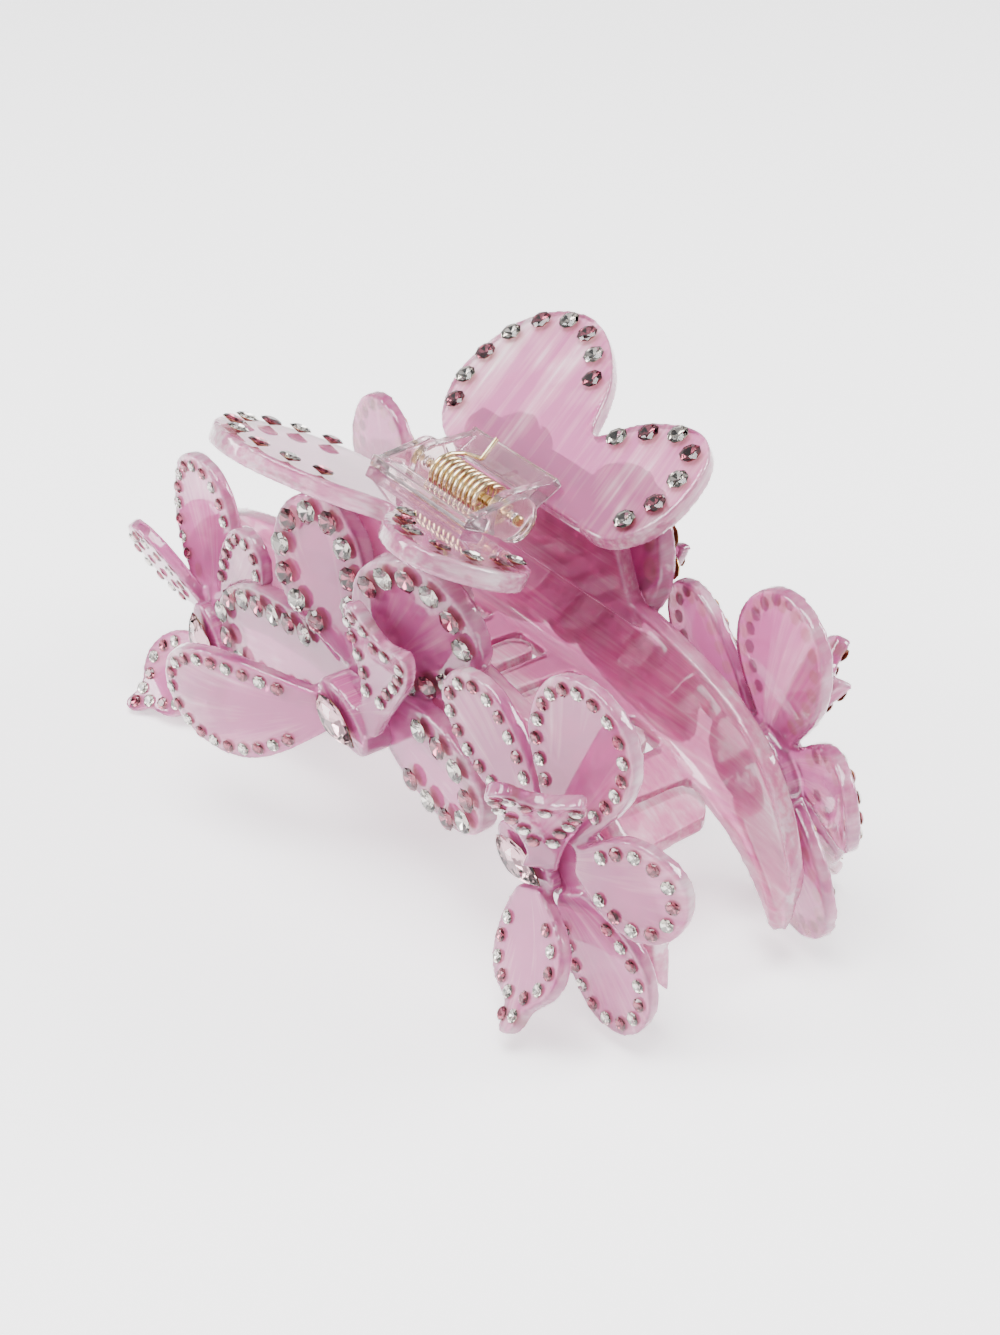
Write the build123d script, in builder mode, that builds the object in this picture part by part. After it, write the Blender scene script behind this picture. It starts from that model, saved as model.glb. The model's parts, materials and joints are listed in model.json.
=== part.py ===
"""Extra-large acetate claw clip: two mirrored jaws, butterfly handles, sprung hinge, rhinestones.

Frame, in millimetres: the hinge pin lies on X through the origin, +Y is the rear jaw, -Y the
front jaw, and +Z is up, towards the handles.
"""
import os
from math import cos, hypot, radians, sin, sqrt

from build123d import *

os.makedirs("parts", exist_ok=True)

# ---- driving dimensions -------------------------------------------------------------------
SHEET = 3.0  # acetate sheet of the jaws, handles and central butterflies
WING = 2.2  # thinner sheet of the small heat-bent butterflies
GLUE = 0.05  # glue line between pieces that sit on a curved face

PIN_R = 0.8
PIN_HALF = 12.8
RUNNING = 0.05  # radial clearance of the pin in the front ears
EAR = 1.7  # thickness of a hinge ear
EAR_GAP = 0.15
EAR_R = 3.6
REAR_EAR_OUT = 10.3  # outer face of the rear bracket's ears
FRONT_EAR_OUT = REAR_EAR_OUT + EAR_GAP + EAR

WIRE_R = 0.38
COIL_R = 2.75  # mean radius of the spring's turns
COIL_TURNS = 10
COIL_HALF = 6.0

HANDLE_RISE = 27.5  # slope of each handle above the horizontal
HANDLE_Y = 4.4  # where the handle's stone plane meets the height of the pin
HANDLE_DROP = 0.8  # handle face below that plane

TOOTH_PITCH = 14.0
TOOTH_ROOT = 7.0
TOOTH_TIP = 5.8
TOOTH_REACH = -11.5  # how far a tooth crosses the middle
SLOT_ROOT = 12.3
JAW_END = 62.0

STONE_R = 1.75  # large rhinestones of the handles
CENTRE_R = 1.95  # and of the central butterflies
CHIP_R = 1.1  # small rhinestones
STONE_STEP = 4.5  # spacing of the large stones
CHIP_STEP = 2.9
STONE_GAP = 0.1
STONE_DEEP = 0.9  # half the room a stone needs off a sheet

# ---- butterfly wings ----------------------------------------------------------------------
# An outline runs from one side of the root, round the tip, to the other side: fractions of
# the wing's length and of its width.
OUTLINES = {
    "fore": [(0, -0.13), (0.28, -0.36), (0.58, -0.5), (0.87, -0.4), (1, -0.08), (0.96, 0.22),
             (0.76, 0.45), (0.48, 0.5), (0.22, 0.33), (0, 0.13)],
    "hind": [(0, -0.16), (0.22, -0.4), (0.52, -0.5), (0.83, -0.42), (1, -0.1), (0.95, 0.25),
             (0.74, 0.47), (0.45, 0.49), (0.2, 0.36), (0, 0.16)],
    "tail": [(0, -0.15), (0.24, -0.42), (0.48, -0.5), (0.7, -0.36), (0.84, -0.15), (1, -0.1),
             (1, 0.04), (0.87, 0.13), (0.72, 0.38), (0.46, 0.5), (0.22, 0.38), (0, 0.15)],
    "crown": [(0, -0.2), (0.4, -0.34), (0.82, -0.5), (1, -0.47), (0.9, -0.2), (0.88, 0.12),
              (1, 0.38), (0.94, 0.5), (0.5, 0.38), (0, 0.2)],
}


class Wing:
    """One wing: root and tip in the clip's frame, the way its face looks, and its bend."""

    def __init__(self, root, tip, face, width, shape="fore", sag=0.0, thick=WING, stones=(0.1, 0.9)):
        along = Vector(*tip) - Vector(*root)
        self.length = along.length
        self.width = width
        self.plane = Plane(origin=root, x_dir=along, z_dir=self.square(along, Vector(*face)))
        self.points = [(u * self.length, v * width) for u, v in OUTLINES[shape]]
        self.sag = sag
        self.thick = thick
        self.stones = stones

    @staticmethod
    def square(along, face):
        unit = along.normalized()
        return face - unit * face.dot(unit)

    def arc(self):
        """Radius of the bent sheet's middle, and how far its axis is off the wing's chord."""
        radius = (self.length**2 / 4 + self.sag**2) / (2 * abs(self.sag))
        return radius, radius - abs(self.sag)

    def solid(self):
        """The wing's sheet, cut to its outline and bent along its length."""
        deep = abs(self.sag) + self.thick
        with BuildPart() as blank:
            with BuildSketch(self.plane):
                with BuildLine():
                    Spline(*self.points)
                    Line(self.points[-1], self.points[0])
                make_face()
            if self.sag == 0:
                extrude(amount=-self.thick)
            else:
                extrude(amount=deep, both=True)
                radius, off = self.arc()
                side = Plane(origin=self.plane.origin, x_dir=self.plane.x_dir, z_dir=-self.plane.y_dir)
                up = 1 if self.sag > 0 else -1
                with BuildSketch(side):
                    with Locations((self.length / 2, up * off)):
                        Circle(radius + self.thick / 2)
                        Circle(radius - self.thick / 2, mode=Mode.SUBTRACT)
                extrude(amount=self.width, both=True, mode=Mode.INTERSECT)
        return blank.part

    def seat(self, u, v):
        """Where a stone at (u, v) sits: a location on the wing's face, square to it."""
        if self.sag == 0:
            return self.plane * Location((u, v, GLUE))
        radius, off = self.arc()
        up = 1 if self.sag > 0 else -1
        face = radius - up * self.thick / 2
        across = u - self.length / 2
        height = up * (off - sqrt(face**2 - across**2))
        normal = (self.plane.x_dir * (-up * across) + self.plane.z_dir * sqrt(face**2 - across**2)) / face
        spot = self.plane.from_local_coords((u, v, height))
        return Plane(origin=spot + normal * GLUE, x_dir=self.plane.y_dir, z_dir=normal).location

    def covers(self, point, reach):
        """Whether this wing's sheet fills the space of a stone centred on the point."""
        local = self.plane.to_local_coords(point)
        height = local.Z
        if self.sag:
            radius, off = self.arc()
            across = min(abs(local.X - self.length / 2), radius * 0.95)
            height -= (1 if self.sag > 0 else -1) * (off - sqrt(radius**2 - across**2)) + self.thick / 2
        if not -self.thick - STONE_DEEP < height < STONE_DEEP:
            return False
        return in_outline((local.X, local.Y), inset_line(self.points, (self.length / 2, 0), -reach))


def in_outline(point, outline):
    """Even-odd test of a point against a closed outline."""
    inside = False
    for (x0, y0), (x1, y1) in zip(outline, outline[1:] + outline[:1]):
        if (y0 > point[1]) != (y1 > point[1]):
            inside ^= point[0] < x0 + (point[1] - y0) * (x1 - x0) / (y1 - y0)
    return inside


def inset_line(points, centre, inset):
    """The outline's points, each moved in towards the centre."""
    moved = []
    for u, v in points:
        away = hypot(u - centre[0], v - centre[1])
        keep = max(away - inset, 0) / away
        moved.append((centre[0] + (u - centre[0]) * keep, centre[1] + (v - centre[1]) * keep))
    return moved


def spaced(points, step, start, end):
    """Places at even steps along a smooth line through the points, between two fractions."""
    line = Edge.make_spline([Vector(*p, 0) for p in points])
    count = max(int(line.length * (end - start) / step) + 1, 2)
    return [line @ (start + (end - start) * i / (count - 1)) for i in range(count)]


def rhinestone(radius):
    """A round chaton: flat back, girdle, sloping crown and flat table."""
    with BuildPart() as stone:
        with BuildSketch(Plane.XZ):
            Polygon((0, 0), (radius * 0.82, 0), (radius, radius * 0.3), (radius * 0.55, radius * 0.66),
                    (0, radius * 0.66), align=None)
        revolve(axis=Axis.Z)
    return stone.part


def set_stones(seats, radius, placed, first=0):
    """Stones on their seats, rose and clear in turn, where they stand clear: {colour: stones}.

    A seat is a location and the pieces that might cover it.
    """
    stone = rhinestone(radius)
    groups = {"clear": [], "rose": []}
    for i, (place, covers) in enumerate(seats):
        middle = (place * Location((0, 0, radius / 3))).position
        if any((middle - other).length < radius + reach for other, reach in placed):
            continue
        if any(cover.covers(middle, radius + STONE_GAP) for cover in covers):
            continue
        placed.append((middle, radius + STONE_GAP))
        groups["clear" if (i + first) % 2 == 0 else "rose"].append(stone.moved(place))
    return groups


def wing_seats(wings, covers, step, inset):
    """Seats along each wing's edge, with the other pieces that might cover them."""
    seats = []
    for wing in wings:
        line = inset_line(wing.points, (wing.length * 0.5, 0), inset)
        others = [piece for piece in covers if piece is not wing]
        seats += [(wing.seat(p.X, p.Y), others) for p in spaced(line, step, *wing.stones)]
    return seats


# ---- saving -------------------------------------------------------------------------------
SAVED = {}


def save(part, name):
    part.label = name
    SAVED[name] = part
    export_step(part, f"parts/{name}.step")


def save_stones(groups, name):
    for colour, stones in groups.items():
        save_pair(Compound(children=stones), f"{name}_{colour}_stones")


def save_pair(part, name):
    """A piece of the front jaw, and its mirror image on the rear jaw."""
    save(part, f"front_{name}")
    save(mirror(part, about=Plane.XZ), f"rear_{name}")


RISE = radians(HANDLE_RISE)
FRONT_HANDLE = Plane(origin=(0, -HANDLE_Y, 0), x_dir=(-1, 0, 0), z_dir=(0, sin(RISE), cos(RISE)))
REAR_HANDLE = Plane(origin=(0, HANDLE_Y, 0), x_dir=(1, 0, 0), z_dir=(0, -sin(RISE), cos(RISE)))

# ---- jaws ---------------------------------------------------------------------------------
# Stations along half a jaw: distance from the middle, top edge (y, z), knee (y, z), where
# the sheet turns in towards the teeth.
STATIONS = [
    (0, (15.5, -11), (18, -34.5)),
    (18, (15.6, -12.8), (18, -34.5)),
    (36, (15.6, -16.3), (17.8, -37.5)),
    (48, (15.4, -20.8), (16.8, -42.5)),
    (56, (14.8, -27.5), (15, -47)),
    (63, (12.8, -41), (12.4, -50.5)),
]
KNEE_R = 5.5
TIP_RISE = 0.5  # teeth tips above the knee
NECK_HALF = 15  # the neck that carries the handle: half width at its top and at its foot
NECK_FOOT = 24


def jaw_profile(x, rim, knee):
    """The bent sheet's section at one station."""
    top_y, top_z = rim
    knee_y, knee_z = knee
    fold = min(KNEE_R, (top_z - knee_z) * 0.6)
    belly_y = (top_y + knee_y) / 2 + 0.9
    belly_z = (top_z + knee_z + fold) / 2
    centre = (knee_y - fold, knee_z + fold)
    outer = fold * sqrt(0.5)
    inner = (fold - SHEET) * sqrt(0.5)
    with BuildSketch(Plane.YZ.offset(x)) as profile:
        with BuildLine():
            ThreePointArc(rim, (belly_y, belly_z), (knee_y, knee_z + fold))
            ThreePointArc(
                (knee_y, knee_z + fold), (centre[0] + outer, centre[1] - outer), (knee_y - fold, knee_z)
            )
            Line((knee_y - fold, knee_z), (TOOTH_REACH - 4, knee_z + TIP_RISE))
            Line((TOOTH_REACH - 4, knee_z + TIP_RISE), (TOOTH_REACH - 4, knee_z + TIP_RISE + SHEET))
            Line((TOOTH_REACH - 4, knee_z + TIP_RISE + SHEET), (knee_y - fold, knee_z + SHEET))
            ThreePointArc(
                (knee_y - fold, knee_z + SHEET), (centre[0] + inner, centre[1] - inner),
                (knee_y - SHEET, knee_z + fold),
            )
            ThreePointArc((knee_y - SHEET, knee_z + fold), (belly_y - SHEET, belly_z), (top_y - SHEET, top_z))
            Line((top_y - SHEET, top_z), rim)
        make_face()
    return profile.sketch


def jaw(centres):
    """A rear-side jaw: arched C-shaped sheet, its plan cut to teeth, slots and two beaks."""
    left = [jaw_profile(-x, rim, knee) for x, rim, knee in STATIONS[::-1]]
    right = [jaw_profile(x, rim, knee) for x, rim, knee in STATIONS[1:]]
    root_half = TOOTH_ROOT / 2
    tip_half = TOOTH_TIP / 2
    with BuildPart() as body:
        loft(sections=left + right)
        with BuildSketch(Plane.XY.offset(-70)):
            with BuildLine():
                last = max(centres) + TOOTH_ROOT / 2
                Line((-JAW_END, 30), (JAW_END, 30))
                for side in (-1, 1):
                    Line((side * JAW_END, 30), (side * JAW_END, 11))
                    Line((side * JAW_END, 11), (side * (JAW_END - 2), 9.5))
                    Spline(
                        (side * (JAW_END - 2), 9.5), (side * (last + 8), SLOT_ROOT + 0.3),
                        (side * last, SLOT_ROOT),
                    )
                Line((-last, SLOT_ROOT), (last, SLOT_ROOT))
            make_face()
            for centre in centres:
                with BuildLine():
                    a = Line((centre - root_half, SLOT_ROOT + 1), (centre - tip_half, TOOTH_REACH + tip_half))
                    b = ThreePointArc(a @ 1, (centre, TOOTH_REACH), (centre + tip_half, TOOTH_REACH + tip_half))
                    c = Line(b @ 1, (centre + root_half, SLOT_ROOT + 1))
                    Line(c @ 1, a @ 0)
                make_face()
        extrude(amount=80, mode=Mode.INTERSECT)
        rim_y = STATIONS[0][1][0]
        with BuildSketch(Plane.XZ.offset(-rim_y)):
            Polygon((-NECK_FOOT, -17), (-NECK_HALF, 4), (NECK_HALF, 4), (NECK_FOOT, -17), align=None)
        extrude(amount=SHEET)
        split(bisect_by=REAR_HANDLE.offset(-HANDLE_DROP - SHEET), keep=Keep.BOTTOM)
    return body.part


# ---- handles ------------------------------------------------------------------------------
# Half a butterfly, seen square on: along the pin (towards the small lobe), then up the slope.
HANDLE_POINTS = [
    (-13.5, 1.6), (-20, 5), (-24.2, 11.5), (-25, 19), (-22.5, 26.5), (-16.5, 31), (-9.5, 31),
    (-2.5, 27), (3, 20.5), (6.8, 15), (10.5, 19), (16, 22.8), (21.5, 24), (25.5, 22),
    (28.6, 15.5), (28.6, 8.5), (25.5, 3.2), (18.5, 1.6),
]
BIG_LOBE = HANDLE_POINTS[1:9]
SMALL_LOBE = HANDLE_POINTS[9:17]


def handle():
    with BuildPart() as plate:
        with BuildSketch(FRONT_HANDLE.offset(-HANDLE_DROP)):
            with BuildLine():
                Spline(*[(-x, up) for x, up in HANDLE_POINTS])
                Line((-HANDLE_POINTS[-1][0], HANDLE_POINTS[-1][1]), (-HANDLE_POINTS[0][0], HANDLE_POINTS[0][1]))
            make_face()
        extrude(amount=-SHEET)
    return plate.part


def handle_seats():
    seats = []
    for lobe, centre, start, end in ((BIG_LOBE, (-12, 16), 0.02, 0.93), (SMALL_LOBE, (18, 12), 0.08, 0.97)):
        line = inset_line(lobe, centre, 2.6)
        for p in spaced(line, STONE_STEP + 0.25, start, end):
            seats.append((FRONT_HANDLE * Location((-p.X, p.Y, GLUE - HANDLE_DROP)), []))
    return seats


# ---- hinge --------------------------------------------------------------------------------
BASE_LOW = 0.6  # the bracket's base plate, measured up the handle
BASE_HIGH = 5.4
BASE_THICK = 1.8


def bracket(ear_out, bore):
    """Clear moulded bracket of the front jaw: base plate glued to the handle, two ears."""
    low = FRONT_HANDLE.offset(-HANDLE_DROP)
    with BuildPart() as piece:
        with BuildSketch(low):
            with Locations((0, (BASE_LOW + BASE_HIGH) / 2)):
                Rectangle(2 * ear_out, BASE_HIGH - BASE_LOW)
        extrude(amount=BASE_THICK)
        near = low.from_local_coords((0, BASE_LOW + 0.1, 0))
        far = low.from_local_coords((0, BASE_HIGH - 1, BASE_THICK))
        for side in (-1, 1):
            with BuildSketch(Plane.YZ.offset(side * ear_out)):
                Circle(EAR_R)
                Polygon((-0.5, -EAR_R), (near.Y, near.Z), (far.Y, far.Z), (0.5, EAR_R), align=None)
            extrude(amount=-side * EAR)
        with BuildSketch(Plane.YZ.offset(-2 * ear_out)):
            Circle(bore)
        extrude(amount=4 * ear_out, mode=Mode.SUBTRACT)
    return piece.part


def hinge_pin():
    with BuildPart() as pin:
        with BuildSketch(Plane.YZ.offset(-PIN_HALF)):
            Circle(PIN_R)
        extrude(amount=2 * PIN_HALF)
        chamfer(pin.edges().filter_by(GeomType.CIRCLE), 0.2)
    return pin.part


REAR_LEG = [(-6.2, 3.9, 1.9), (-1.2, 3.4, 3.3), (-0.6, 5.8, 6.2)]
FRONT_LEG = [(6.9, -2.75, 0), (6.9, -4.5, 0.4), (0.3, -4.45, -0.45)]


def wire(points, bend):
    """Spring wire along straight runs joined by bends."""
    with BuildPart() as leg:
        with BuildLine() as path:
            FilletPolyline(*points, radius=bend)
        with BuildSketch(Plane(origin=path.line @ 0, z_dir=path.line % 0)):
            Circle(WIRE_R)
        sweep()
    return leg.part


def torsion_spring():
    """The spring's open turns, and the leg that turns up behind them over the rear bracket."""
    height = 2 * COIL_HALF
    with BuildPart() as turns:
        with BuildLine():
            path = Helix(
                pitch=height / COIL_TURNS, height=height, radius=COIL_R, center=(-COIL_HALF, 0, 0),
                direction=(1, 0, 0),
            )
        with BuildSketch(Plane(origin=path @ 0, z_dir=path % 0)):
            Circle(WIRE_R)
        sweep(is_frenet=True)
    start = path @ 0
    away = -(path % 0)
    lead = [start, start + away * 1.2] + [Vector(*p) for p in REAR_LEG]
    return Compound(children=[turns.part, wire(lead, 0.45)])


# ---- butterflies --------------------------------------------------------------------------
OUT = (0, -1, 0)
PLATE_Y = -21.2  # outer face of the central butterfly
BASE_Y = -19.4  # outer face of a small butterfly's base layer at its body
TOP_Y = -21.7  # outer face of its top layer
GEM_Y = -26.2  # seat of the top butterfly's boat-shaped stone


class Disc:
    """A butterfly's body: an oval disc that faces outwards, its long axis leaning from X."""

    def __init__(self, centre, lean, long, wide, outer, depth):
        lean = radians(lean)
        origin = (centre[0], outer, centre[1])
        self.plane = Plane(origin=origin, x_dir=(cos(lean), 0, sin(lean)), z_dir=OUT)
        self.long = long
        self.wide = wide
        self.depth = depth

    def solid(self):
        with BuildPart() as disc:
            with BuildSketch(self.plane):
                Ellipse(self.long, self.wide)
            extrude(amount=-self.depth)
        return disc.part

    def covers(self, point, reach):
        local = self.plane.to_local_coords(point)
        along = local.X / (self.long + reach)
        across = local.Y / (self.wide + reach)
        return -self.depth - STONE_DEEP < local.Z < GEM_HIGH and along**2 + across**2 < 1


def layer(wings, disc, cut_by):
    """One sheet of a butterfly: its wings and body, trimmed by what it is glued to."""
    with BuildPart() as sheet:
        add(disc.solid())
        for wing in wings:
            add(wing.solid())
        for piece in cut_by:
            add(piece, mode=Mode.SUBTRACT)
    return sheet.part


GEM_LONG = 10.6
GEM_WIDE = 5.2
GEM_HIGH = 2.4
GIRDLE = 0.7


def marquise(disc):
    """A navette stone: boat-shaped girdle, crown sloping to a smaller table."""
    plane = disc.plane
    levels = ((GLUE, 0.86), (GLUE + GIRDLE, 1), (GLUE + GEM_HIGH, 0.55))
    outlines = []
    for height, scale in levels:
        half = GEM_LONG / 2 * scale
        bulge = GEM_WIDE / 2 * scale
        with BuildSketch(plane.offset(height)) as outline:
            with BuildLine():
                ThreePointArc((-half, 0), (0, bulge), (half, 0))
                ThreePointArc((half, 0), (0, -bulge), (-half, 0))
            make_face()
        outlines.append(outline.sketch)
    with BuildPart() as gem:
        loft(sections=outlines, ruled=True)
    return gem.part


CENTRE_WINGS = [
    Wing((0, PLATE_Y, -22), (-15, PLATE_Y, -1), (0.25, -1, 0.1), 19, "fore", thick=SHEET),
    Wing((3, PLATE_Y, -23), (23, PLATE_Y + 1.5, -0.5), (0.25, -1, -0.1), 23, "fore", thick=SHEET),
    Wing((-2, PLATE_Y, -27), (-40, PLATE_Y, -35), OUT, 18, "hind", thick=SHEET),
    Wing((5, PLATE_Y, -27), (32, PLATE_Y, -33), OUT, 16, "hind", thick=SHEET),
]
TOP_WINGS = [
    Wing((8, -24.4, -28), (14, -25.8, -7.5), (0.1, -1, 0.1), 14, "crown", sag=1.5),
    Wing((1, -24.4, -29), (-28, -37, -34), (0.4, -0.92, 0), 18, "fore", sag=-3.5),
]
RIGHT_BASE = [
    Wing((49, BASE_Y, -26), (52, -18, 0), (0.1, -1, 0), 20, "fore", sag=1),
    Wing((52, BASE_Y, -28), (70, -14.5, -27), (0.3, -1, 0.1), 15, "fore", sag=-1.5),
    Wing((51, BASE_Y, -34), (62, -17.5, -53), (0.2, -1, -0.1), 16, "hind", sag=1),
    Wing((44, BASE_Y, -27), (24, -20.5, -12), (0, -1, 0.1), 14, "fore", sag=0.5),
]
RIGHT_TOP = [
    Wing((46.5, TOP_Y, -31), (53, -27.5, -13), (0.6, -0.7, -0.4), 13, "crown", sag=1.5),
    Wing((45, TOP_Y, -36), (52, -31, -53), (0, -1, 0), 17, "tail", sag=1.5),
]
LEFT_BASE = [
    Wing((-45, BASE_Y, -38), (-50, -17.6, -10), (0, -1, 0.1), 18, "fore", sag=1),
    Wing((-46, BASE_Y - 1, -37), (-62, -25, -27), (-0.12, -0.9, -0.3), 13, "fore"),
    Wing((-41, BASE_Y, -34), (-29, -20.5, -16), (0, -1, 0), 12, "hind"),
]
LEFT_TOP = [
    Wing((-45, TOP_Y, -42), (-54, -31, -56), (-0.1, -1, 0), 14, "tail", sag=1.5),
    Wing((-43, TOP_Y, -44), (-44, -25, -53), (0, -1, 0), 9, "hind"),
]

DEEP = BASE_Y - TOP_Y
CENTRE_DISC = Disc((1.5, -25), 90, 8, 5, PLATE_Y, SHEET)
TOP_DISC = Disc((3.6, -28.5), -30, 7, 4, GEM_Y, PLATE_Y - GEM_Y)
RIGHT_BASE_DISC = Disc((46.5, -30.5), 0, 9, 7, BASE_Y, 4)
RIGHT_TOP_DISC = Disc((42.5, -32.5), -19, 6.5, 3.6, TOP_Y, DEEP)
LEFT_BASE_DISC = Disc((-43, -38), -58, 7, 5, BASE_Y, 4)
LEFT_TOP_DISC = Disc((-42.5, -40), -58, 6.5, 3.6, TOP_Y - 0.5, DEEP + 0.5)


def hinge():
    save(bracket(FRONT_EAR_OUT, PIN_R + RUNNING), "front_bracket")
    save(mirror(bracket(REAR_EAR_OUT, PIN_R), about=Plane.XZ), "rear_bracket")
    save(hinge_pin(), "hinge_pin")
    save(torsion_spring(), "torsion_spring")
    save(wire(FRONT_LEG, 0.6), "spring_front_leg")


def main():
    save(jaw([(i + 0.5) * TOOTH_PITCH for i in range(-3, 3)]), "rear_jaw")
    front_jaw = mirror(jaw([i * TOOTH_PITCH for i in range(-3, 4)]), about=Plane.XZ)
    save(front_jaw, "front_jaw")
    plate = handle()
    save_pair(plate, "handle")
    hinge()

    centre = layer(CENTRE_WINGS, CENTRE_DISC, [front_jaw])
    top_gem = marquise(TOP_DISC)
    right_gem = marquise(RIGHT_TOP_DISC)
    left_gem = marquise(LEFT_TOP_DISC)
    top = layer(TOP_WINGS, TOP_DISC, [centre, front_jaw, top_gem])
    right_base = layer(RIGHT_BASE, RIGHT_BASE_DISC, [front_jaw, centre])
    left_base = layer(LEFT_BASE, LEFT_BASE_DISC, [front_jaw, centre])
    right_top = layer(RIGHT_TOP, RIGHT_TOP_DISC, [front_jaw, right_base, centre, right_gem])
    left_top = layer(LEFT_TOP, LEFT_TOP_DISC, [front_jaw, left_base, centre, left_gem])

    placed = []
    save_stones(set_stones(handle_seats(), STONE_R, placed, 1), "handle")
    covers = CENTRE_WINGS + TOP_WINGS + RIGHT_BASE + RIGHT_TOP + LEFT_BASE + LEFT_TOP
    covers += [CENTRE_DISC, TOP_DISC, RIGHT_BASE_DISC, RIGHT_TOP_DISC, LEFT_BASE_DISC, LEFT_TOP_DISC]
    pieces = {
        "centre_butterfly": (centre, CENTRE_WINGS, CENTRE_R, STONE_STEP, 2.7),
        "top_butterfly": (top, TOP_WINGS, CHIP_R, CHIP_STEP, 2.0),
        "right_butterfly_base": (right_base, RIGHT_BASE, CHIP_R, CHIP_STEP, 2.0),
        "right_butterfly_top": (right_top, RIGHT_TOP, CHIP_R, CHIP_STEP, 2.0),
        "left_butterfly_base": (left_base, LEFT_BASE, CHIP_R, CHIP_STEP, 2.0),
        "left_butterfly_top": (left_top, LEFT_TOP, CHIP_R, CHIP_STEP, 2.0),
    }
    for name, (piece, wings, radius, step, inset) in pieces.items():
        save_pair(piece, name)
        save_stones(set_stones(wing_seats(wings, covers, step, inset), radius, placed), name)
    save_pair(top_gem, "top_butterfly_gem")
    save_pair(right_gem, "right_butterfly_gem")
    save_pair(left_gem, "left_butterfly_gem")


main()
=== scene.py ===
# %% [markdown]
# # A butterfly claw clip in marbled acetate
# The clip is two arched jaws on a sprung hinge, dressed with butterflies cut from sheet acetate
# and set with foil-backed stones. The engineering model gives every piece its place; this
# lesson gives each one its edges, its facets and its finish.

import json
import math
import random

import bmesh
import bpy
import numpy as np
from mathutils import Matrix, Vector
from mathutils.bvhtree import BVHTree


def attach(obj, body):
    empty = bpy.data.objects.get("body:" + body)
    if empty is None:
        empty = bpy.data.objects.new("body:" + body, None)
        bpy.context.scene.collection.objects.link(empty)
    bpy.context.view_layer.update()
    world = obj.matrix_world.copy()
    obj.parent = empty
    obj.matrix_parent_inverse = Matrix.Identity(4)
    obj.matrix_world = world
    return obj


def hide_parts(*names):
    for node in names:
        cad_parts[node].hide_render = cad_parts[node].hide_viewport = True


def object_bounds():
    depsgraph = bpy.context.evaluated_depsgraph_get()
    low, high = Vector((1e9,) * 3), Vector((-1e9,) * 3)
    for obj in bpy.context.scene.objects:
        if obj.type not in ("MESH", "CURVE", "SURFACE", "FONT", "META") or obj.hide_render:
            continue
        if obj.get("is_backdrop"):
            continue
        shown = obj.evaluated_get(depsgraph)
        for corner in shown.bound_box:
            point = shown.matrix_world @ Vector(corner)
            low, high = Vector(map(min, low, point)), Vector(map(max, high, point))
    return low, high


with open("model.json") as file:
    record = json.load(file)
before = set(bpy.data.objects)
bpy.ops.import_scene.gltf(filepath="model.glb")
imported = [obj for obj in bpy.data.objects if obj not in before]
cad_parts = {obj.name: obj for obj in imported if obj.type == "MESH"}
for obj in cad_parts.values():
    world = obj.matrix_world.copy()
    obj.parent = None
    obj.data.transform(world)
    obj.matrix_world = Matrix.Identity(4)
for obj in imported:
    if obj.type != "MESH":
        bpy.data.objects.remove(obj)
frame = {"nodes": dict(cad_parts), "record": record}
cad_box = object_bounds()
nodes = frame["nodes"]
body_of = {
    node: body
    for body, members in frame["record"]["behaviour"]["bodies"].items()
    for node in members
}
slot_of = {row["node"]: row["material_slot"] for row in frame["record"]["subparts"]}
MM = 0.001
dice = random.Random(11)
print("clip box in mm:", [[round(v / MM, 1) for v in corner] for corner in cad_box])

# %% [markdown]
# ## Camera
# A small object is best seen from well back with a long lens, so its shape isn't stretched.
# The camera looks down from in front and to the right of the near end of the hinge.

# %% Camera
EYE = (262.8, -189.2, 179.4)  # millimetres from the middle of the hinge
LENS = 67.4
SENSOR = 36
AZIMUTH = math.radians(53.423)
ELEVATION = math.radians(33.093)
eye = Vector(EYE) * MM
right = Vector((math.cos(AZIMUTH), math.sin(AZIMUTH), 0))
back = Vector((
    math.sin(AZIMUTH) * math.cos(ELEVATION),
    -math.cos(AZIMUTH) * math.cos(ELEVATION),
    math.sin(ELEVATION),
))
up = back.cross(right)
camera = bpy.data.objects.new("camera", bpy.data.cameras.new("camera"))
bpy.context.scene.collection.objects.link(camera)
camera.data.lens = LENS
camera.data.sensor_width = SENSOR
camera.data.clip_start = 0.01
turned = Matrix((right, up, back)).transposed().to_4x4()
camera.matrix_world = Matrix.Translation(eye) @ turned
bpy.context.scene.camera = camera
print("camera stands", round(eye.length / MM), "mm from the hinge")

# %% [markdown]
# ## Stage and light
# A pale sweep under the clip and large soft lamps keep the acetate bright and milky. Cut stones
# need something dark to reflect, or they look flat, so the sky has a few dark patches overhead,
# like the gaps between a studio's softboxes.

# %% Node helpers
def linear(code):
    """The linear colour of an sRGB hex code."""
    values = [int(code[i:i + 2], 16) / 255 for i in (1, 3, 5)]
    return [v / 12.92 if v <= 0.04045 else ((v + 0.055) / 1.055) ** 2.4 for v in values] + [1]


def add(tree, kind, links=(), **settings):
    """Adds a node. Settings set its properties, or else its inputs by name, or as i0, i1 ..."""
    node = tree.nodes.new(kind)
    for key, value in settings.items():
        if hasattr(node, key):
            setattr(node, key, value)
            continue
        numbered = key[0] == "i" and key[1:].isdigit()
        node.inputs[int(key[1:]) if numbered else key.replace("_", " ")].default_value = value
    for socket, source in links:
        tree.links.new(source, node.inputs[socket])
    return node


def ramp(tree, source, stops):
    """A colour ramp from a value: stops are (place, hex)."""
    node = add(tree, "ShaderNodeValToRGB", [(0, source)])
    while len(node.color_ramp.elements) < len(stops):
        node.color_ramp.elements.new(0.5)
    for element, (place, code) in zip(node.color_ramp.elements, stops):
        element.position = place
        element.color = linear(code)
    return node


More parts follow.
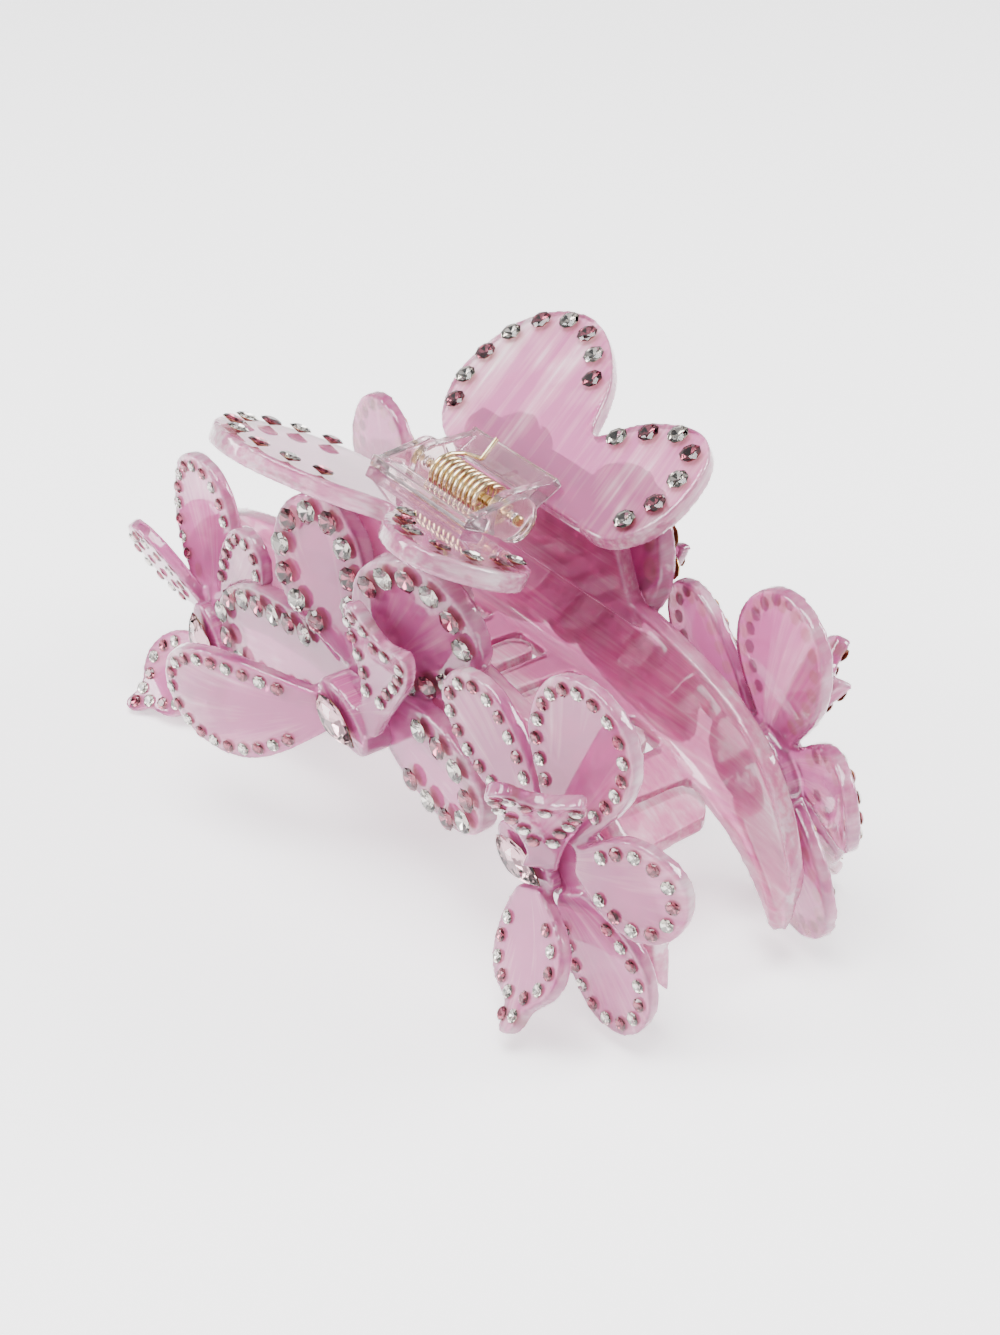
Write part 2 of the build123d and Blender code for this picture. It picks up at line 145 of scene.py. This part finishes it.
def noise(tree, place, **settings):
    """The value of a noise pattern at a place."""
    return add(tree, "ShaderNodeTexNoise", [("Vector", place)], **settings).outputs[0]


def remap(tree, value, **settings):
    """A value moved from one range to another, 0 to 1 unless the settings say."""
    return add(tree, "ShaderNodeMapRange", [("Value", value)], **settings).outputs[0]


def weigh(tree, value, weight, plus=None):
    """A value times a weight, plus another value where there is one."""
    links = [(0, value)] if plus is None else [(0, value), (2, plus)]
    operation = "MULTIPLY" if plus is None else "MULTIPLY_ADD"
    return add(tree, "ShaderNodeMath", links, operation=operation, i1=weight).outputs[0]


def new_material(name):
    material = bpy.data.materials.new(name)
    material.use_nodes = True
    material.node_tree.nodes.clear()
    return material, material.node_tree


def finish_material(tree, shader):
    add(tree, "ShaderNodeOutputMaterial", [(0, shader.outputs[0])])


# %% Floor and lamps
SWEEP_HALF = 4.0  # metres from the middle of the sweep to its edges


def stage_floor():
    low = cad_box[0].z
    turns = ((-1, -1), (1, -1), (1, 1), (-1, 1))
    corners = [(x * SWEEP_HALF, y * SWEEP_HALF, low) for x, y in turns]
    mesh = bpy.data.meshes.new("paper_sweep")
    mesh.from_pydata(corners, [], [(0, 1, 2, 3)])
    floor = bpy.data.objects.new("paper_sweep", mesh)
    bpy.context.scene.collection.objects.link(floor)
    material, tree = new_material("white_paper_sweep")
    place = add(tree, "ShaderNodeNewGeometry")
    fibre = noise(tree, place.outputs["Position"], Scale=900, Detail=2)
    tint = ramp(tree, fibre, [(0.3, "#f7f6f7"), (0.7, "#fbfafb")])
    finish_material(tree, add(
        tree, "ShaderNodeBsdfPrincipled", [("Base Color", tint.outputs[0])],
        Roughness=0.9, Emission_Color=linear("#ffffff"), Emission_Strength=0.9,
    ))
    mesh.materials.append(material)
    floor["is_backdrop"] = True


def lamp(name, place, size, watts):
    """A square lamp aimed at the hinge. Its place and size are in metres."""
    light = bpy.data.lights.new(name, "AREA")
    light.energy = watts
    light.size = size
    light.color = linear("#ffffff")[:3]
    lamp_object = bpy.data.objects.new(name, light)
    lamp_object.location = place
    lamp_object.rotation_euler = (-Vector(place)).to_track_quat("-Z", "Y").to_euler()
    bpy.context.scene.collection.objects.link(lamp_object)


def sky():
    world = bpy.data.worlds.new("studio")
    bpy.context.scene.world = world
    world.use_nodes = True
    tree = world.node_tree
    tree.nodes.clear()
    way = add(tree, "ShaderNodeTexCoord")
    patches = noise(tree, way.outputs["Generated"], Scale=2.6, Detail=1)
    tone = ramp(tree, patches, [(0.46, "#0b0a0c"), (0.51, "#fbfafc")])
    height = add(tree, "ShaderNodeSeparateXYZ", [(0, way.outputs["Generated"])])
    high = remap(tree, height.outputs["Z"], From_Min=0.25, From_Max=0.5)
    sky_mix = add(
        tree, "ShaderNodeMix", [("Factor", high), (7, tone.outputs[0])],
        data_type="RGBA", i6=linear("#f6f5f7"),
    )
    glow = add(tree, "ShaderNodeBackground", [(0, sky_mix.outputs[2])], Strength=1.25)
    add(tree, "ShaderNodeOutputWorld", [(0, glow.outputs[0])])


stage_floor()
sky()
lamp("softbox_overhead", (0.05, -0.15, 0.75), 0.5, 13)
lamp("softbox_left", (-0.45, -0.65, 0.35), 0.35, 8)
lamp("strip_behind", (0.35, 0.6, 0.4), 0.3, 7)

# %% [markdown]
# ## Marbled acetate
# Cellulose acetate sheet is made by pressing coloured pulp into blocks and slicing them, so its
# marbling runs through the sheet as long streaks. It is then sawn, bent warm and tumbled to a
# gloss, which rounds its edges. Light soaks into it: thin edges look almost white and the thick
# middle looks rose. Four stored values on each mesh drive the pattern: `grain`, the place in
# millimetres along and across the streaks; `tone`, how deep the colour is there; `rim`, which
# is 1 on a sawn edge; and `seat`, which is 1 under a stone, where a dark spot is painted: partly
# the foil showing through the sheet, partly painted shadow round the sunken stone.

# %% Acetate
STRETCH = (0.05, 1, 1)  # streaks run twenty times as far along the grain as across it


def marbled_acetate(name, stops, clear_share):
    """Tumbled cellulose acetate: streaks 0.7 and 3 mm wide over 12 mm clouds."""
    material, tree = new_material(name)
    grain = add(tree, "ShaderNodeAttribute", attribute_name="grain").outputs["Vector"]
    tone = add(tree, "ShaderNodeAttribute", attribute_name="tone").outputs["Fac"]
    rim = add(tree, "ShaderNodeAttribute", attribute_name="rim").outputs["Fac"]
    stretch = add(tree, "ShaderNodeMapping", [("Vector", grain)], Scale=STRETCH)
    pulled = stretch.outputs[0]
    broad = noise(tree, pulled, Scale=0.33, Detail=2, Distortion=0.25)
    fine = noise(tree, pulled, Scale=1.4, Detail=2)
    cloud = noise(tree, grain, Scale=0.085, Detail=2, Distortion=0.6)
    streaks = weigh(tree, broad, 0.95)
    hairs = weigh(tree, fine, 0.62, streaks)
    clouds = weigh(tree, cloud, 0.75, hairs)
    offset = add(tree, "ShaderNodeMath", [(0, clouds)], operation="SUBTRACT", i1=0.55).outputs[0]
    deep = weigh(tree, tone, 0.36, offset)
    paler_rim = weigh(tree, rim, -0.14, deep)
    sheet = ramp(tree, paler_rim, stops)
    # Painted dark spot under each stone, mixed towards #a8706e: partly the foil showing through,
    # partly painted shadow round the sunken stone.
    seat = add(tree, "ShaderNodeAttribute", attribute_name="seat").outputs["Fac"]
    mottle = remap(tree, fine, From_Min=0.3, From_Max=0.7, To_Min=0.45, To_Max=0.75)
    shown = add(tree, "ShaderNodeMath", [(0, seat), (1, mottle)], operation="MULTIPLY").outputs[0]
    colour = add(
        tree, "ShaderNodeMix", [("Factor", shown), (6, sheet.outputs[0])],
        data_type="RGBA", i7=linear("#a8706e"),
    )
    gloss = remap(tree, fine, To_Min=0.03, To_Max=0.10)
    wave = add(tree, "ShaderNodeBump", [("Height", broad)], Strength=0.12, Distance=0.05 * MM)
    finish_material(tree, add(
        tree, "ShaderNodeBsdfPrincipled",
        [("Base Color", colour.outputs[2]), ("Roughness", gloss), ("Normal", wave.outputs[0])],
        IOR=1.49, Transmission_Weight=clear_share,
        Subsurface_Weight=0.35, Subsurface_Scale=2.5 * MM, Subsurface_Radius=(1.0, 0.55, 0.75),
        Coat_Weight=0.6, Coat_Roughness=0.02,
    ))
    return material


ACETATE = {
    "jaw_acetate": marbled_acetate(
        "rose_marbled_acetate_tumbled",
        [(0.38, "#f8e3ea"), (0.52, "#eebccf"), (0.70, "#e497ba"), (0.95, "#d474a6")], 0.60,
    ),
    "handle_acetate": marbled_acetate(
        "lilac_marbled_acetate_tumbled",
        [(0.31, "#f4e0e6"), (0.45, "#e8bfce"), (0.61, "#d78fb0"), (0.84, "#c2689a")], 0.60,
    ),
    "wing_acetate": marbled_acetate(
        "pale_marbled_acetate_tumbled",
        [(0.29, "#f4e0e6"), (0.42, "#e8bed0"), (0.57, "#d88fb2"), (0.79, "#c2649a")], 0.62,
    ),
}
print("acetate finishes:", sorted(ACETATE))

# %% [markdown]
# ## Where the stones sit
# Each stone's drilled seat and brown-gold foil show through the sheet as a dark spot, most of all
# from the back, and a painted shadow darkens the sheet round each sunken stone. So the seats are
# found first, from the engineering model's stones.

# %% Find each stone's seat
WELD = 0.002  # millimetres: corners of one solid this close are the same corner
LEVEL = 0.05  # millimetres: how near a corner is to a stone's end to count as on it
# These size the painted dark spot on each seat: the foil seen through the sheet plus painted
# shadow round the sunken stone.
FOIL_SHADE_SPREAD = 1.18  # a seat's dark spot, in half lengths of its stone
FOIL_SHADE_FADE = 0.35  # and the soft edge of it
FOIL_SHADE_ABOVE = 1.0  # millimetres a spot shows above the seat's base
FOIL_SHADE_BELOW = 4.5  # and below it, through the sheet
FOIL_SHADE_REACH = 6.0  # millimetres: points further than this from a seat are skipped


def separate_solids(mesh):
    """The corner points of each separate solid in a mesh, in millimetres."""
    shape = bmesh.new()
    shape.from_mesh(mesh)
    bmesh.ops.remove_doubles(shape, verts=shape.verts, dist=WELD * MM)
    seen = set()
    for start in shape.verts:
        if start in seen:
            continue
        group = []
        queue = [start]
        seen.add(start)
        while queue:
            vertex = queue.pop()
            group.append(vertex.co / MM)
            for edge in vertex.link_edges:
                other = edge.other_vert(vertex)
                if other not in seen:
                    seen.add(other)
                    queue.append(other)
        yield np.array(group)
    shape.free()


def seat_of(points):
    """A stone's base centre, long, wide and outward directions, half sizes and height."""
    middle = (points.max(0) + points.min(0)) / 2
    spread = np.cov((points - points.mean(0)).T)
    facing = np.linalg.eigh(spread)[1][:, 0]
    height = points @ facing
    ends = [points[np.abs(height - end) < LEVEL] for end in (height.min(), height.max())]
    wide = [np.linalg.norm(np.cross(end - middle, facing), axis=1).max() for end in ends]
    if wide[0] < wide[1]:
        facing = -facing
        height = -height
    flat = points - np.outer(height, facing)
    spread = np.cov((flat - flat.mean(0)).T)
    along = np.linalg.eigh(spread)[1][:, 2]
    along = along - facing * (along @ facing)
    along /= np.linalg.norm(along)
    across = np.cross(facing, along)
    a = points @ along
    b = points @ across
    base = (along * (a.max() + a.min()) / 2 + across * (b.max() + b.min()) / 2
            + facing * height.min())
    half_long = (a.max() - a.min()) / 2
    half_wide = (b.max() - b.min()) / 2
    return base, along, across, facing, half_long, half_wide, height.max() - height.min()


SEATS = {
    node: [seat_of(points) for points in separate_solids(nodes[node].data)]
    for node in sorted(nodes) if node.endswith(("_stones", "_gem"))
}
print(sum(map(len, SEATS.values())), "seats")


def seat_foil_and_shade(node, places):
    """1 where a stone sits on this sheet or shows through it, 0 elsewhere: a painted dark spot,
    partly the foil seen through the sheet, partly painted shadow round the sunken stone.
    """
    on_sheet = [
        seat for name, seats in SEATS.items()
        if name.startswith(node) and "stones" in name for seat in seats
    ]
    foil_and_shade = np.zeros(len(places))
    for base, _, _, facing, half_long, _, _ in on_sheet:
        offset = places - base
        near = np.abs(offset).max(1) < FOIL_SHADE_REACH
        height = offset[near] @ facing
        out = np.linalg.norm(offset[near] - np.outer(height, facing), axis=1)
        spot = np.clip((half_long * FOIL_SHADE_SPREAD - out) / (half_long * FOIL_SHADE_FADE), 0, 1)
        spot = spot * (height < FOIL_SHADE_ABOVE) * (height > -FOIL_SHADE_BELOW)
        foil_and_shade[near] = np.maximum(foil_and_shade[near], spot)
    return foil_and_shade


# %% [markdown]
# ## Polished sheet pieces
# Tumbling rounds every sawn edge by about half a millimetre. Rebuilding the solid from small
# cells and smoothing it does the same, all round, without choosing edges one by one.

# %% Sheet helpers
SOLID_DEPTH = 0.2  # millimetres below the surface where a ray through the sheet starts
RAY_REACH = 0.02  # metres that ray may travel
EDGE_DEPTH = 4.5  # millimetres: more sheet than this ahead means a sawn edge
RIM_PASSES = 16
FAN_SPREAD = 15  # millimetres of grain for each radian round a butterfly's body
FAN_DEPTH = 0.15  # share of the depth that the fan's grain keeps
SLANT = 0.25  # how far a handle's streaks lean, per millimetre up the slope


def new_piece(name, mesh, node):
    piece = bpy.data.objects.new(name, mesh)
    bpy.context.scene.collection.objects.link(piece)
    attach(piece, body_of[node])
    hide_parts(node)
    return piece


def tumbled(node, cell, passes):
    """A copy of a solid with its edges rounded: small cells, then smoothing."""
    source = bpy.data.objects.new("source", nodes[node].data.copy())
    bpy.context.scene.collection.objects.link(source)
    remesh = source.modifiers.new("cells", "REMESH")
    remesh.mode = "VOXEL"
    remesh.voxel_size = cell * MM
    smooth = source.modifiers.new("tumble", "SMOOTH")
    smooth.factor = 0.5
    smooth.iterations = passes
    graph = bpy.context.evaluated_depsgraph_get()
    mesh = bpy.data.meshes.new_from_object(source.evaluated_get(graph))
    bpy.data.objects.remove(source)
    mesh.materials.clear()
    mesh.polygons.foreach_set("use_smooth", [True] * len(mesh.polygons))
    return mesh


def points_of(mesh):
    places = np.empty(len(mesh.vertices) * 3)
    mesh.vertices.foreach_get("co", places)
    return places.reshape(-1, 3) / MM


def store(mesh, name, values):
    kind, field = ("FLOAT", "value") if values.ndim == 1 else ("FLOAT_VECTOR", "vector")
    layer = mesh.attributes.new(name, kind, "POINT")
    layer.data.foreach_set(field, values.astype(np.float32).ravel())


def sawn_rim(mesh):
    """1 on the sawn edge of the sheet, fading over about 2 mm on its faces."""
    corners = [v.co for v in mesh.vertices]
    tree = BVHTree.FromPolygons(corners, [p.vertices[:] for p in mesh.polygons])
    rim = np.zeros(len(mesh.vertices))
    for i, vertex in enumerate(mesh.vertices):
        start = vertex.co - vertex.normal * SOLID_DEPTH * MM
        hit = tree.ray_cast(start, -vertex.normal, RAY_REACH)[3]
        rim[i] = 1.0 if hit is None or hit > EDGE_DEPTH * MM else 0.0
    edges = np.empty(len(mesh.edges) * 2, int)
    mesh.edges.foreach_get("vertices", edges)
    edges = edges.reshape(-1, 2)
    degree = np.bincount(edges.ravel(), minlength=len(rim))
    for _ in range(RIM_PASSES):
        total = (np.bincount(edges[:, 0], rim[edges[:, 1]], len(rim))
                 + np.bincount(edges[:, 1], rim[edges[:, 0]], len(rim)))
        rim = 0.5 * rim + 0.5 * total / np.maximum(degree, 1)
    return rim


def fan_grain(places, middle, reach):
    """Streaks that fan out from a butterfly's body, and tone that pales to the wing tips."""
    x = places[:, 0] - middle[0]
    z = places[:, 2] - middle[1]
    far = np.hypot(x, z)
    turn = np.arctan2(z, x) * FAN_SPREAD
    grain = np.column_stack([far, turn, places[:, 1] * FAN_DEPTH])
    return grain, np.clip(1 - far / reach, 0, 1) ** 0.8


# %% Cut the sheet pieces
JAW_FADE = 75  # millimetres over which a jaw's colour fades from its middle to its ends
TOOTH_SIDE = 6  # millimetres past the middle plane where the teeth are palest
JAW_DEPTH = 16  # millimetres from there to the jaw's deepest colour
HANDLE_RISE = math.radians(27.5)
HANDLE_FADE = 38  # millimetres over which a handle's colour fades away from the hinge


def long_grain(places):
    """Streaks along the jaw, deepest in its middle and pale out along the teeth."""
    outward = places[:, 1] * np.sign(places[:, 1].mean())
    middle = np.clip(1.05 - np.abs(places[:, 0]) / JAW_FADE, 0, 1)
    return places, middle * np.clip((outward + TOOTH_SIDE) / JAW_DEPTH, 0.05, 1)


def slope_grain(places):
    """Streaks up the handle, deepest by the hinge."""
    run, rise = math.cos(HANDLE_RISE), math.sin(HANDLE_RISE)
    up_slope = np.abs(places[:, 1]) * run + places[:, 2] * rise
    through = places[:, 2] * run - np.abs(places[:, 1]) * rise
    grain = np.column_stack([up_slope, places[:, 0] + up_slope * SLANT, through])
    return grain, np.clip(0.95 - np.hypot(places[:, 0], places[:, 1]) / HANDLE_FADE, 0, 1)


# A fan's numbers are the x and z of its butterfly's body and the reach of its colour.
SHEETS = {
    "jaw": long_grain,
    "handle": slope_grain,
    "centre_butterfly": lambda p: fan_grain(p, (1, -26), 34),
    "top_butterfly": lambda p: fan_grain(p, (3, -28), 26),
    "right_butterfly_base": lambda p: fan_grain(p, (46, -31), 30),
    "right_butterfly_top": lambda p: fan_grain(p, (43, -32), 22),
    "left_butterfly_base": lambda p: fan_grain(p, (-43, -38), 28),
    "left_butterfly_top": lambda p: fan_grain(p, (-43, -40), 20),
}
CELL = 0.38  # millimetres
SHEET_PASSES = 8
GRAIN_SHIFT = np.array([37.0, 11.0, 5.0])  # so that no two sheets show the same streaks
for side in ("front", "rear"):
    for sheet, grain_of in SHEETS.items():
        node = f"{side}_{sheet}"
        mesh = tumbled(node, CELL, SHEET_PASSES)
        places = points_of(mesh)
        shift = GRAIN_SHIFT * dice.uniform(-3, 3)
        grain, tone = grain_of(places)
        store(mesh, "grain", grain + shift)
        store(mesh, "tone", tone)
        store(mesh, "rim", sawn_rim(mesh))
        # The seat value marks the painted dark spot under each stone: the foil seen through plus
        # painted shadow.
        store(mesh, "seat", seat_foil_and_shade(node, places))
        mesh.materials.append(ACETATE[slot_of[node]])
        new_piece(f"{node}_sheet", mesh, node)
        print(node, len(mesh.vertices), "points")

# %% [markdown]
# ## Cut stones
# The round stones are chatons: a low faceted crown over a foiled cone, glued into the sheet.
# Light enters the glass, meets the foil and comes back through other facets, so the glass and
# the foil are modelled as one closed stone with two finishes.

# %% Stone finishes
def cut_glass(name, tint):
    """Pressed and polished lead-free crystal, with the faintest polishing haze."""
    material, tree = new_material(name)
    place = add(tree, "ShaderNodeNewGeometry").outputs["Position"]
    haze = noise(tree, place, Scale=2500, Detail=1)
    soft = remap(tree, haze, To_Min=0.0, To_Max=0.03)
    finish_material(tree, add(
        tree, "ShaderNodeBsdfPrincipled", [("Roughness", soft)],
        Base_Color=linear(tint), Transmission_Weight=1, IOR=1.56,
    ))
    return material


def foil_back(name, inner, outer):
    """Silvered foil under the glass, with a brown-gold lacquer on its outside."""
    material, tree = new_material(name)
    place = add(tree, "ShaderNodeNewGeometry")
    speck = noise(tree, place.outputs["Position"], Scale=1800, Detail=2)
    lacquer = ramp(tree, speck, [(0.3, outer), (0.75, "#a98a5c")])
    facing = add(
        tree, "ShaderNodeMix", [("Factor", place.outputs["Backfacing"]), (6, lacquer.outputs[0])],
        data_type="RGBA", i7=linear(inner),
    )
    finish_material(tree, add(
        tree, "ShaderNodeBsdfPrincipled", [("Base Color", facing.outputs[2])],
        Metallic=1, Roughness=0.03,
    ))
    return material


FOIL = foil_back("silvered_foil_lacquered", "#d8d3cd", "#7d5c33")
GLASS = {
    "clear_crystal": cut_glass("clear_cut_glass", "#fbfbfa"),
    "rose_crystal": cut_glass("rose_cut_glass", "#b45f78"),
    "pink_navette": cut_glass("pale_pink_cut_glass", "#f7cede"),
}


# %% Facets
GIRDLE_LEVEL = 3  # a face whose upper ring is below this level is foiled
# Each level of a cut, from the bottom: count, turn, scale, height.
ROUND_CUT = [
    (1, 0, 0, 0.0), (8, 0, 0.98, 0.60), (8, 0, 1.0, 0.68),
    (8, 0.5, 0.8, 0.86), (8, 1.0, 0.55, 1.0),
]
CHIP_CUT = [
    (1, 0, 0, 0.0), (8, 0, 0.98, 0.30), (8, 0, 1.0, 0.36),
    (8, 0.5, 0.78, 0.66), (8, 1.0, 0.55, 0.84),
]
BOAT_CUT = [
    (1, 0, 0, 0.0), (12, 0, 0.97, 0.30), (12, 0, 1.0, 0.38),
    (12, 0.5, 0.82, 0.74), (12, 1.0, 0.55, 1.0),
]


def ring(count, turn, half_long, half_wide, height, outline):
    """Points round a stone at one height: a circle, or a boat shape with pointed ends."""
    made = []
    for i in range(count):
        angle = 2 * math.pi * (i + turn) / count
        x = math.cos(angle)
        y = math.sin(angle)
        if outline == "boat":
            y = math.copysign(1 - x * x, y) if abs(y) > 1e-6 else 0
        made.append((x * half_long, y * half_wide, height))
    return made


def facets(levels, outline, half_long, half_wide):
    """A closed faceted stone from its levels. The first is a single point, the rest are rings."""
    corners = [(0, 0, levels[0][3])]
    starts = [0]
    for count, turn, scale, height in levels[1:]:
        starts.append(len(corners))
        corners += ring(count, turn, half_long * scale, half_wide * scale, height, outline)
    faces = []
    foiled = []
    count = levels[1][0]
    for i in range(count):
        faces.append((0, starts[1] + (i + 1) % count, starts[1] + i))
        foiled.append(True)
    for level in range(1, len(levels) - 1):
        lower, upper = levels[level], levels[level + 1]
        low, high = starts[level], starts[level + 1]
        below = level + 1 < GIRDLE_LEVEL
        for i in range(count):
            a, b = low + i, low + (i + 1) % count
            c, d = high + i, high + (i + 1) % count
            if lower[1] == upper[1]:
                faces.append((a, b, d, c))
                foiled.append(below)
            elif upper[1] > lower[1]:
                faces += [(a, b, c), (b, d, c)]
                foiled += [below, below]
            else:
                faces += [(a, b, d), (a, d, c)]
                foiled += [below, below]
    faces.append(tuple(starts[-1] + i for i in range(count)))
    foiled.append(False)
    return np.array(corners), faces, foiled


# %% Set the stones
SNUG = 0.995  # a cut stone's size as a share of its seat's


def set_stones(node, cut, outline):
    """One mesh with every stone of a node, each on its own seat. Returns their number."""
    shape = bmesh.new()
    for base, along, across, facing, half_long, half_wide, high in SEATS[node]:
        levels = [(n, turn, scale, height * high) for n, turn, scale, height in cut]
        corners, faces, foiled = facets(levels, outline, half_long * SNUG, half_wide * SNUG)
        if outline == "round":
            spin = dice.uniform(0, math.tau)
            along, across = (along * math.cos(spin) + across * math.sin(spin),
                             across * math.cos(spin) - along * math.sin(spin))
        places = base + corners[:, :1] * along + corners[:, 1:2] * across + corners[:, 2:] * facing
        verts = [shape.verts.new(Vector(p) * MM) for p in places]
        for face, foil in zip(faces, foiled):
            made = shape.faces.new([verts[i] for i in dict.fromkeys(face)])
            made.material_index = int(foil)
    bmesh.ops.recalc_face_normals(shape, faces=shape.faces)
    mesh = bpy.data.meshes.new(f"{node}_cut")
    shape.to_mesh(mesh)
    shape.free()
    mesh.materials.append(GLASS[slot_of[node]])
    mesh.materials.append(FOIL)
    new_piece(f"{node}_cut", mesh, node)
    return len(SEATS[node])


placed = 0
for node in sorted(nodes):
    if node.endswith("_stones"):
        proud = "handle" in node or "centre" in node
        placed += set_stones(node, ROUND_CUT if proud else CHIP_CUT, "round")
    elif node.endswith("_gem"):
        placed += set_stones(node, BOAT_CUT, "boat")
print(placed, "stones set")

# %% [markdown]
# ## Hinge brackets
# The brackets are clear moulded plastic, glued to the handles. Moulding leaves soft edges and
# faint flow lines, which show as ripples in what is seen through it.

# %% Brackets
def moulded_clear_plastic():
    material, tree = new_material("clear_polycarbonate_moulded")
    place = add(tree, "ShaderNodeNewGeometry").outputs["Position"]
    flow = noise(tree, place, Scale=260, Detail=2, Distortion=1.2)
    ripple = add(tree, "ShaderNodeBump", [("Height", flow)], Strength=0.35, Distance=0.15 * MM)
    soft = remap(tree, flow, To_Min=0.02, To_Max=0.12)
    finish_material(tree, add(
        tree, "ShaderNodeBsdfPrincipled", [("Normal", ripple.outputs[0]), ("Roughness", soft)],
        Base_Color=linear("#fdf1f2"), Transmission_Weight=0.95, IOR=1.5,
    ))
    return material


CLEAR = moulded_clear_plastic()
MOULD_CELL = 0.25  # millimetres
MOULD_PASSES = 3
for side in ("front", "rear"):
    node = f"{side}_bracket"
    mesh = tumbled(node, MOULD_CELL, MOULD_PASSES)
    mesh.materials.append(CLEAR)
    new_piece(f"{node}_moulding", mesh, node)
    print(node, len(mesh.vertices), "points")

# %% [markdown]
# ## Spring and pin
# Music wire is wound on a mandrel and gold plated. The plating follows the drawing lines of the
# wire, so it shines in thin streaks. The engineering model already has every turn, so it stays.

# %% Gold plate
def gold_plate(name, light, dark, rough):
    material, tree = new_material(name)
    place = add(tree, "ShaderNodeNewGeometry").outputs["Position"]
    lines = add(tree, "ShaderNodeMapping", [("Vector", place)], Scale=(2600, 500, 500)).outputs[0]
    drawn = noise(tree, lines, Scale=1, Detail=2)
    colour = ramp(tree, drawn, [(0.3, dark), (0.7, light)])
    worn = remap(tree, drawn, To_Min=rough, To_Max=rough + 0.15)
    score = add(tree, "ShaderNodeBump", [("Height", drawn)], Strength=0.2, Distance=0.01 * MM)
    finish_material(tree, add(
        tree, "ShaderNodeBsdfPrincipled",
        [("Base Color", colour.outputs[0]), ("Roughness", worn), ("Normal", score.outputs[0])],
        Metallic=1,
    ))
    return material


WIRE = gold_plate("gold_plated_music_wire", "#f0e2c2", "#c4aa78", 0.14)
PIN = gold_plate("gold_plated_steel_pin", "#e6cd98", "#b8955a", 0.2)
for node, material in (("torsion_spring", WIRE), ("spring_front_leg", WIRE), ("hinge_pin", PIN)):
    for row in nodes[node].material_slots:
        row.link = "OBJECT"
        row.material = material

# %% [markdown]
# ## Finish
# The visual model's box is compared with the engineering model's, and how far each side moves is
# printed. The visual model must stay inside the engineering model's box.

# %% Compare the boxes
look_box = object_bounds()
moved = [
    round((b - a) / MM, 2) for end in (0, 1) for a, b in zip(cad_box[end], look_box[end])
]
print("each side of the box moves by, in mm:", moved)
